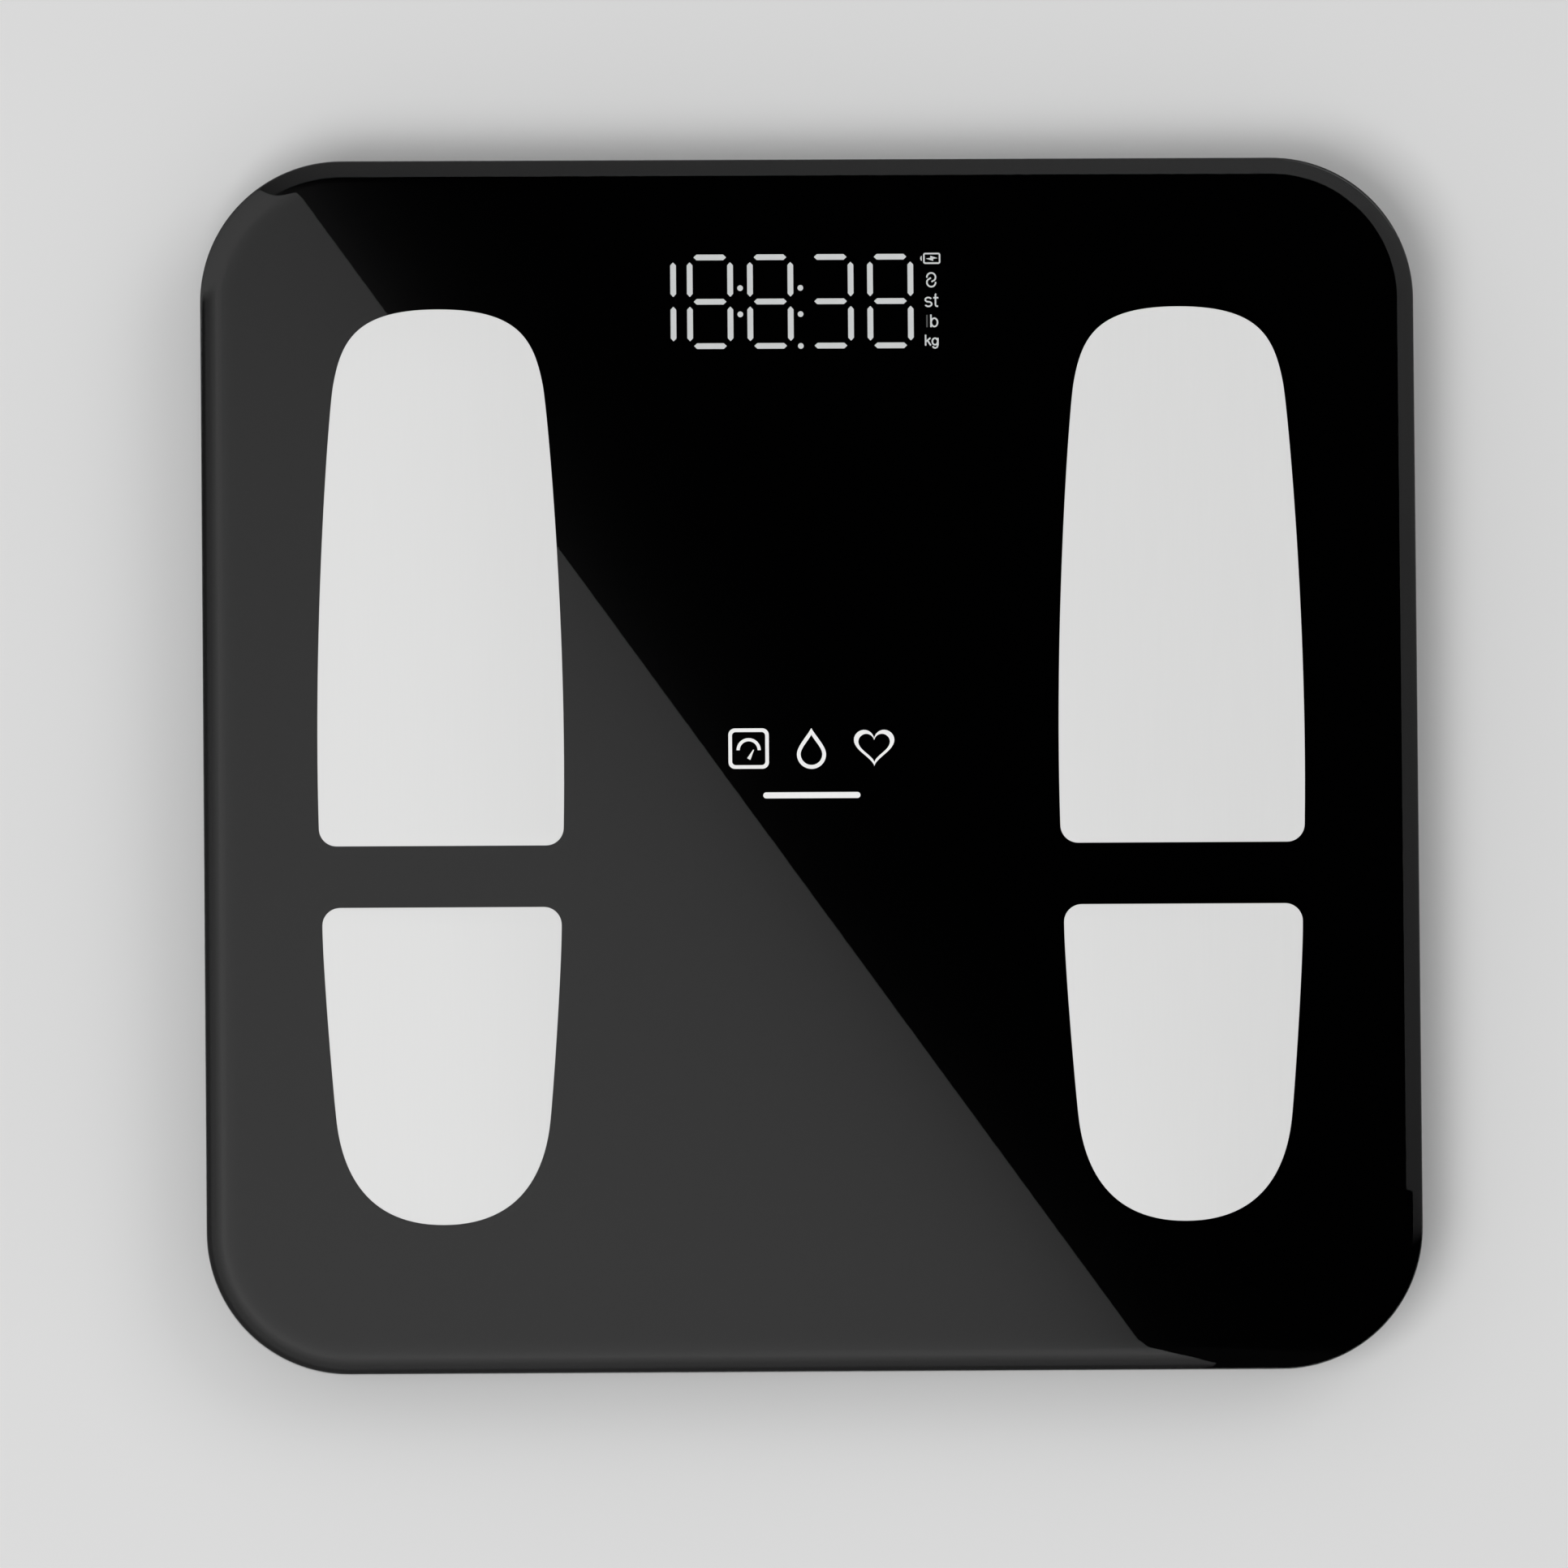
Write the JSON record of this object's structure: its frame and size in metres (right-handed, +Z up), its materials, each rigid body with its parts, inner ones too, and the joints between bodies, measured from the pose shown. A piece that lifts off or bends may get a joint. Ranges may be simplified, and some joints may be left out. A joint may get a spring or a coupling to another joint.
{
  "type": "digital bathroom scale",
  "caption": "Square bathroom scale with round corners: bevelled black glass on a shallow black base, steel foot electrodes, a lit display, four round feet, a unit button and a battery door.",
  "frame": {"origin": "centre of the plane under the four foot pads", "axes": "+Z up, out of the glass; +Y from the heels to the toes and the display; +X to the user's right"},
  "size_m": [0.3, 0.3, 0.0253],
  "materials": {
    "black_glass": "polished tempered glass, printed black underneath",
    "electrode_steel": "satin",
    "adhesive_foam": "matt foam tape",
    "black_plastic": "fine spark texture",
    "grey_plastic": "satin moulded",
    "rubber": "matt",
    "cell_steel": "ground spring steel",
    "white_plastic": "moulded",
    "screw_steel": "zinc plated",
    "grey_lead": "lead jacket",
    "black_lead": "lead jacket",
    "red_lead": "lead jacket",
    "board_green": "solder mask",
    "display_white": "white, lit from behind",
    "smoked_film": "smoked film",
    "chip_black": "moulded package",
    "cell_jacket": "printed sleeve, no lettering",
    "contact_nickel": "nickel plated"
  },
  "bodies": {
    "base": {"glass_platform": "black_glass", "toe_electrode_left": "electrode_steel", "toe_electrode_right": "electrode_steel", "heel_electrode_left": "electrode_steel", "heel_electrode_right": "electrode_steel", "glass_adhesive": "adhesive_foam", "base_housing": "black_plastic", "foot_cup_toe_left": "grey_plastic", "foot_pad_toe_left": "rubber", "load_cell_toe_left": "cell_steel", "load_cell_carrier_toe_left": "white_plastic", "carrier_screw_toe_left": "screw_steel", "sensor_lead_toe_left": "grey_lead", "electrode_lead_toe_left": "black_lead", "foot_cup_toe_right": "grey_plastic", "foot_pad_toe_right": "rubber", "load_cell_toe_right": "cell_steel", "load_cell_carrier_toe_right": "white_plastic", "carrier_screw_toe_right": "screw_steel", "sensor_lead_toe_right": "grey_lead", "electrode_lead_toe_right": "black_lead", "foot_cup_heel_left": "grey_plastic", "foot_pad_heel_left": "rubber", "load_cell_heel_left": "cell_steel", "load_cell_carrier_heel_left": "white_plastic", "carrier_screw_heel_left": "screw_steel", "sensor_lead_heel_left": "grey_lead", "electrode_lead_heel_left": "black_lead", "foot_cup_heel_right": "grey_plastic", "foot_pad_heel_right": "rubber", "load_cell_heel_right": "cell_steel", "load_cell_carrier_heel_right": "white_plastic", "carrier_screw_heel_right": "screw_steel", "sensor_lead_heel_right": "grey_lead", "electrode_lead_heel_right": "black_lead", "main_board": "board_green", "display_reflector": "display_white", "display_filter": "smoked_film", "controller_chip": "chip_black", "radio_module": "cell_steel", "board_connector_left": "white_plastic", "board_connector_right": "white_plastic", "board_screw_1": "screw_steel", "board_screw_2": "screw_steel", "board_screw_3": "screw_steel", "board_screw_4": "screw_steel", "unit_switch": "chip_black", "battery_cell_1": "cell_jacket", "battery_cell_2": "cell_jacket", "battery_cell_3": "cell_jacket", "battery_contact_negative": "contact_nickel", "battery_contact_positive": "contact_nickel", "battery_bridge_right": "contact_nickel", "battery_bridge_left": "contact_nickel", "battery_lead_negative": "black_lead", "battery_lead_positive": "red_lead"},
    "button": {"unit_button": "grey_plastic", "switch_plunger": "chip_black"},
    "door": {"battery_door": "black_plastic"}
  },
  "joints": [
    {"name": "button_press", "type": "slide", "parent": "base", "child": "button", "axis": [0, 0, 1], "range_m": [0, 0.0007], "stiffness_N_per_m": 1500},
    {"name": "door_hinge", "type": "hinge", "parent": "base", "child": "door", "pos_m": [0, 0.0805, 0.0056], "axis": [1, 0, 0], "range_deg": [0, 95]}
  ]
}
